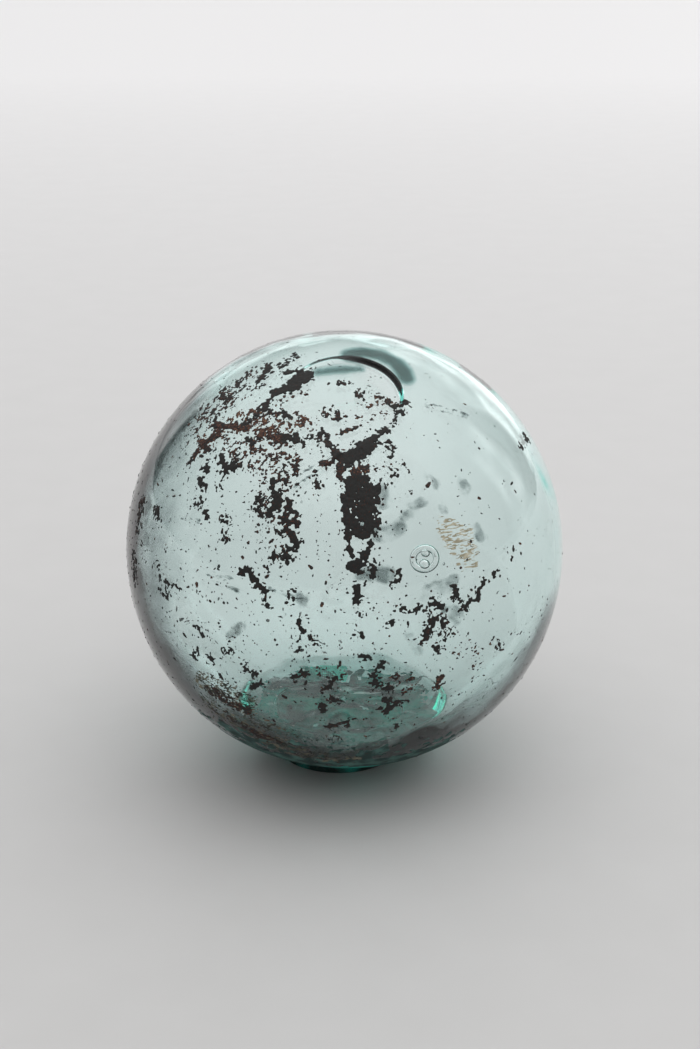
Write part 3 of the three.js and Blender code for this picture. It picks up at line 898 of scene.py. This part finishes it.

# ---------------------------------------------------------------------------------------------------------
# Clouding. The wall has gone grey in soft spots: some sixteen across the far side, and a broken band down the
# left of the ball. They are thin lenses like those by the dish, of grey glass. A wide thin haze of painted
# shade and some faint smears go with them.
FAR_SIDE = direction(180.0, -21.5)
far_strokes = [
    (2.6, 1.0, 0.0, [(-15.0, 4.5), (-10.0, 4.2)]),
    (2.2, 1.0, 0.0, [(-10.6, 15.0), (-10.4, 12.0)]),
    (2.2, 1.0, 0.0, [(-21.0, 13.0), (-19.0, 11.4)]),
    (1.9, 0.9, 0.0, [(-25.0, 18.0), (-24.0, 18.0)]),
    (1.9, 0.9, 0.0, [(-35.4, 18.0), (-34.6, 19.0)]),
    (2.0, 0.9, 0.0, [(-40.0, 3.0), (-39.0, 6.0)]),
    (2.1, 1.0, 0.0, [(-19.0, -25.0), (-21.4, -29.0)]),
    (2.4, 1.0, 0.0, [(-13.4, -7.6), (-4.6, -7.6)]),
    (2.1, 1.0, 0.0, [(12.4, -14.2), (11.0, -15.0)]),
    (2.2, 0.9, 0.0, [(28.0, -22.0), (33.0, -26.0)]),
    (2.6, 0.8, 0.0, [(-24.0, -12.0), (-30.0, -10.0)]),
    (1.9, 0.9, 0.0, [(-6.0, 16.0), (-5.4, 12.0)]),
    (2.2, 0.9, 0.0, [(-6.6, 8.6), (-5.0, 5.0)]),
    (1.8, 0.9, 0.0, [(-16.4, 8.0), (-17.6, 9.0)]),
    (1.8, 0.8, 0.0, [(-27.4, 12.0), (-28.0, 10.4)]),
    (2.2, 0.8, 0.0, [(-30.0, -18.0), (-33.0, -20.0)]),
]
far_span = ((-48, 40), (-36, 28))
limb_strokes = [
    (3.2, 1.0, 0.0, [(-59.0, 9.5), (-59.4, 2.0)]),
    (3.0, 1.0, 0.0, [(-57.0, -8.0), (-55.0, -20.0)]),
    (1.8, 0.9, 0.0, [(-40.0, 36.0), (-48.0, 28.0), (-52.5, 14.0), (-52.0, 2.0)]),
    (2.4, 0.9, 0.0, [(-48.0, -28.0), (-43.0, -36.0)]),
]
limb_span = ((-70, -32), (-54, 44))
cloud_grain = [(3.0, 0.5), (1.5, 0.5), (0.8, 0.3)]
cloud_heights = (-0.42, -0.85, -0.40, -0.10)
clouding = clear_glass("clouding", (0.12, 0.20, 0.20), density=3400, bend=1.0)
for name, middle, span, strokes, seed in (
    ("far_clouding", FAR_SIDE, far_span, far_strokes, 71),
    ("limb_clouding", WEATHERED_SIDE, limb_span, limb_strokes, 77),
):
    lenses(
        name, middle, span, strokes, cloud_grain, cloud_heights,
        step=0.3, seed=seed, material=clouding, soft=2.4
    )

# The haze is painted shade: a grey lens that dims the left and the bottom of the ball. It is one wide lens
# near the inside of the wall, which thins out to nothing towards the middle.
shade_haze_strokes = [
    (26.0, 13.5, 0.0, arc(68.0, 148, 245)),
    (19.0, 10.0, 0.0, arc(70.0, 245, 335)),
    (14.0, 7.5, 0.0, [(-49.0, 8.0), (-50.0, -10.0)]),
]
shade_haze_span = ((-76, 70), (-76, 70))
shade_haze_grain = [(7.0, 3.0), (2.5, 2.0), (1.2, 1.0)]
shade_haze_heights = (-1.22, -1.55, -1.20, -0.95)
shade_haze = clear_glass("shade_haze", (0.20, 0.24, 0.25), density=2600, bend=1.0)
lenses(
    "limb_shade_haze", WEATHERED_SIDE, shade_haze_span, shade_haze_strokes, shade_haze_grain, shade_haze_heights,
    step=0.9, seed=79, material=shade_haze, soft=24
)

# The smears are faint level streaks across the front, and two fine dark lines beside the crease.
smear_strokes = [
    (0.45, 1.0, 0.0, [(-1.6, 19.0), (-3.8, 17.2), (-10.6, 12.7)]),
    (0.35, 0.95, 0.0, [(-2.2, 20.4), (-4.4, 18.6), (-9.8, 15.0)]),
    (0.7, 0.56, 0.0, [(-30.5, -5.4), (-24.0, -7.0)]),
    (0.5, 0.54, 0.0, [(-29.0, -7.6), (-22.6, -9.2)]),
    (0.5, 0.58, 0.0, [(-15.5, -8.5), (-9.0, -10.5)]),
    (0.9, 0.56, 0.0, [(19.6, 33.2), (30.0, 32.0)]),
    (0.6, 0.60, 0.0, [(-38.0, 7.2), (-33.0, 6.0)]),
]
smear_span = ((-40, 32), (-13, 35))
smear_grain = [(1.6, 0.3), (0.8, 0.3)]
lenses(
    "smears", WEATHERED_SIDE, smear_span, smear_strokes, smear_grain, cloud_heights,
    step=0.16, seed=73, material=clouding, fade=1, stretch=3
)

# ---------------------------------------------------------------------------------------------------------
# The seal's core. Left of its middle the thick glass of the seal is denser and greener: a flat ellipsoid of
# darker glass, gathered into the seal when it was pressed on, and whole within it.
core_way = direction(-90.0, -81.0)[None]
core_radii = [[0.0085, 0.0125, 0.004]]
core_glass = clear_glass("core_glass", (0.02, 0.90, 0.85), density=75, bend=1.0)
core_mesh = ellipsoids(core_way, depth=0.0062, radii=core_radii, turns=64, rows=32)
core = make_piece("seal_core", *core_mesh, core_glass)
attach(core, "root")

# ---------------------------------------------------------------------------------------------------------
# The stage: a pale painted table that runs back to the horizon, a sky that is brightest overhead with three
# soft panes of light low in it, and a camera that looks down a little on the ball. Bearings in the sky run
# from straight ahead of the camera (+Y) towards +X.
def table_top():
    """A flat sheet, 12 m each way, so that its far edge is the horizon, a hair under the seal."""
    half, level = 6.0, -0.00006
    corners = [(-half, -half, level), (half, -half, level), (half, half, level), (-half, half, level)]
    return corners, [[0, 1, 2, 3]]


def pale_paint_with_painted_light():
    """Matt off-white paint with a faint mottle and a soft sheen at a low angle, painted paler further off and
    darker in front: painted light, for the light that falls more on the far table.
    """
    material, nodes, links, shader = new_material("pale_paint_with_painted_light")
    mottle = noise_cloud(nodes, links, 60, detail=2)
    place = nodes.new("ShaderNodeTexCoord")
    apart = nodes.new("ShaderNodeSeparateXYZ")
    far = nodes.new("ShaderNodeMapRange")
    far.inputs["From Min"].default_value = -0.15
    far.inputs["From Max"].default_value = 1.50
    blend = nodes.new("ShaderNodeMath")
    blend.operation = "MULTIPLY_ADD"
    blend.inputs[1].default_value = 0.10
    # Painted light: the paint runs from darker in front to paler further back.
    painted_light_tint = nodes.new("ShaderNodeMix")
    painted_light_tint.data_type = "RGBA"
    painted_light_tint.inputs["A"].default_value = (0.545, 0.540, 0.535, 1)
    painted_light_tint.inputs["B"].default_value = (0.83, 0.82, 0.825, 1)
    links.new(place.outputs["Object"], apart.inputs["Vector"])
    links.new(apart.outputs["Y"], far.inputs["Value"])
    links.new(mottle, blend.inputs[0])
    links.new(far.outputs["Result"], blend.inputs[2])
    links.new(blend.outputs["Value"], painted_light_tint.inputs["Factor"])
    links.new(painted_light_tint.outputs["Result"], shader.inputs["Base Color"])
    shader.inputs["Roughness"].default_value = 0.55
    return material


floor = make_piece("floor", *table_top(), pale_paint_with_painted_light())

world = bpy.data.worlds.new("studio")
bpy.context.scene.world = world
world.use_nodes = True
sky = world.node_tree
sky_way = sky.nodes.new("ShaderNodeTexCoord")


def sky_part(towards, start, full):
    """0 where a sky direction's dot product with another is below start, rising smoothly to 1 at full."""
    dot = sky.nodes.new("ShaderNodeVectorMath")
    dot.operation = "DOT_PRODUCT"
    dot.inputs[1].default_value = towards
    fade = sky.nodes.new("ShaderNodeMapRange")
    fade.interpolation_type = "SMOOTHSTEP"
    fade.inputs["From Min"].default_value = start
    fade.inputs["From Max"].default_value = full
    sky.links.new(sky_way.outputs["Generated"], dot.inputs[0])
    sky.links.new(dot.outputs["Value"], fade.inputs["Value"])
    return fade.outputs["Result"]


def sky_math(operation, one, other):
    """Two sky values added or multiplied; either may be a plain number."""
    result = sky.nodes.new("ShaderNodeMath")
    result.operation = operation
    for socket, value in zip(result.inputs, (one, other)):
        if isinstance(value, (int, float)):
            socket.default_value = value
        else:
            sky.links.new(value, socket)
    return result.outputs["Value"]


def glow(bearing, elevation, reach, strength):
    """A soft round light in the sky: strength where it points, fading to nothing reach degrees away."""
    part = sky_part(direction(180 - bearing, elevation), math.cos(math.radians(reach)), 1.0)
    return sky_math("MULTIPLY", part, strength)


def pane(left, right, low, high, blur, strength):
    """
    A bright pane in the sky between two bearings and two elevations, with edges blurred by some degrees. Its
    light is uneven, as through leaves.
    """
    leaves = sky.nodes.new("ShaderNodeTexNoise")
    leaves.inputs["Scale"].default_value = 5.0
    leaves.inputs["Detail"].default_value = 3
    uneven = sky.nodes.new("ShaderNodeMapRange")
    uneven.inputs["From Min"].default_value = 0.36
    uneven.inputs["From Max"].default_value = 0.60
    uneven.inputs["To Min"].default_value = 0.25
    sky.links.new(sky_way.outputs["Generated"], leaves.inputs["Vector"])
    sky.links.new(leaves.outputs["Fac"], uneven.inputs["Value"])
    total = sky_math("MULTIPLY", uneven.outputs["Result"], strength)
    edge_blur = blur / 115  # half the blur, from degrees to a sine
    for bearing in (left + 90, right - 90):
        side = sky_part(direction(180 - bearing, 0.0), -edge_blur, edge_blur)
        total = sky_math("MULTIPLY", side, total)
    for way, edge in ((1, low), (-1, high)):
        sine = way * math.sin(math.radians(edge))
        up = sky_part((0, 0, way), sine - edge_blur, sine + edge_blur)
        total = sky_math("MULTIPLY", up, total)
    return total


SKY_LEVEL = 0.18
panes = [pane(10, 42, 0, 33, 6, 0.8), pane(-38, 40, -1, 18, 4, 1.0), pane(58, 78, -2, 34, 7, 1.2)]
light = SKY_LEVEL
for part in [glow(5, 84, 72, 1.27), glow(140, 45, 75, 0.3), *panes]:
    light = sky_math("ADD", part, light)
sky.links.new(light, sky.nodes["Background"].inputs["Strength"])
sky.nodes["Background"].inputs["Color"].default_value = (1, 1, 1, 1)

CAMERA_DISTANCE = 0.400
CAMERA_ELEVATION = 21.5
CAMERA_TIP = 0.775  # how far above the ball's centre it looks, in degrees
CAMERA_SWING = -0.2
lens = bpy.data.cameras.new("camera")
lens.lens = 59.65
camera = bpy.data.objects.new("camera", lens)
bpy.context.scene.collection.objects.link(camera)
rise = math.radians(CAMERA_ELEVATION)
camera.location = BALL_CENTRE + CAMERA_DISTANCE * np.array([0, -math.cos(rise), math.sin(rise)])
tip = math.radians(90 - CAMERA_ELEVATION + CAMERA_TIP)
camera.rotation_euler = (tip, 0, math.radians(CAMERA_SWING))
bpy.context.scene.camera = camera
bpy.context.scene.view_settings.view_transform = "Standard"
bounces = bpy.context.scene.cycles
bounces.max_bounces = bounces.glossy_bounces = bounces.transmission_bounces = 28
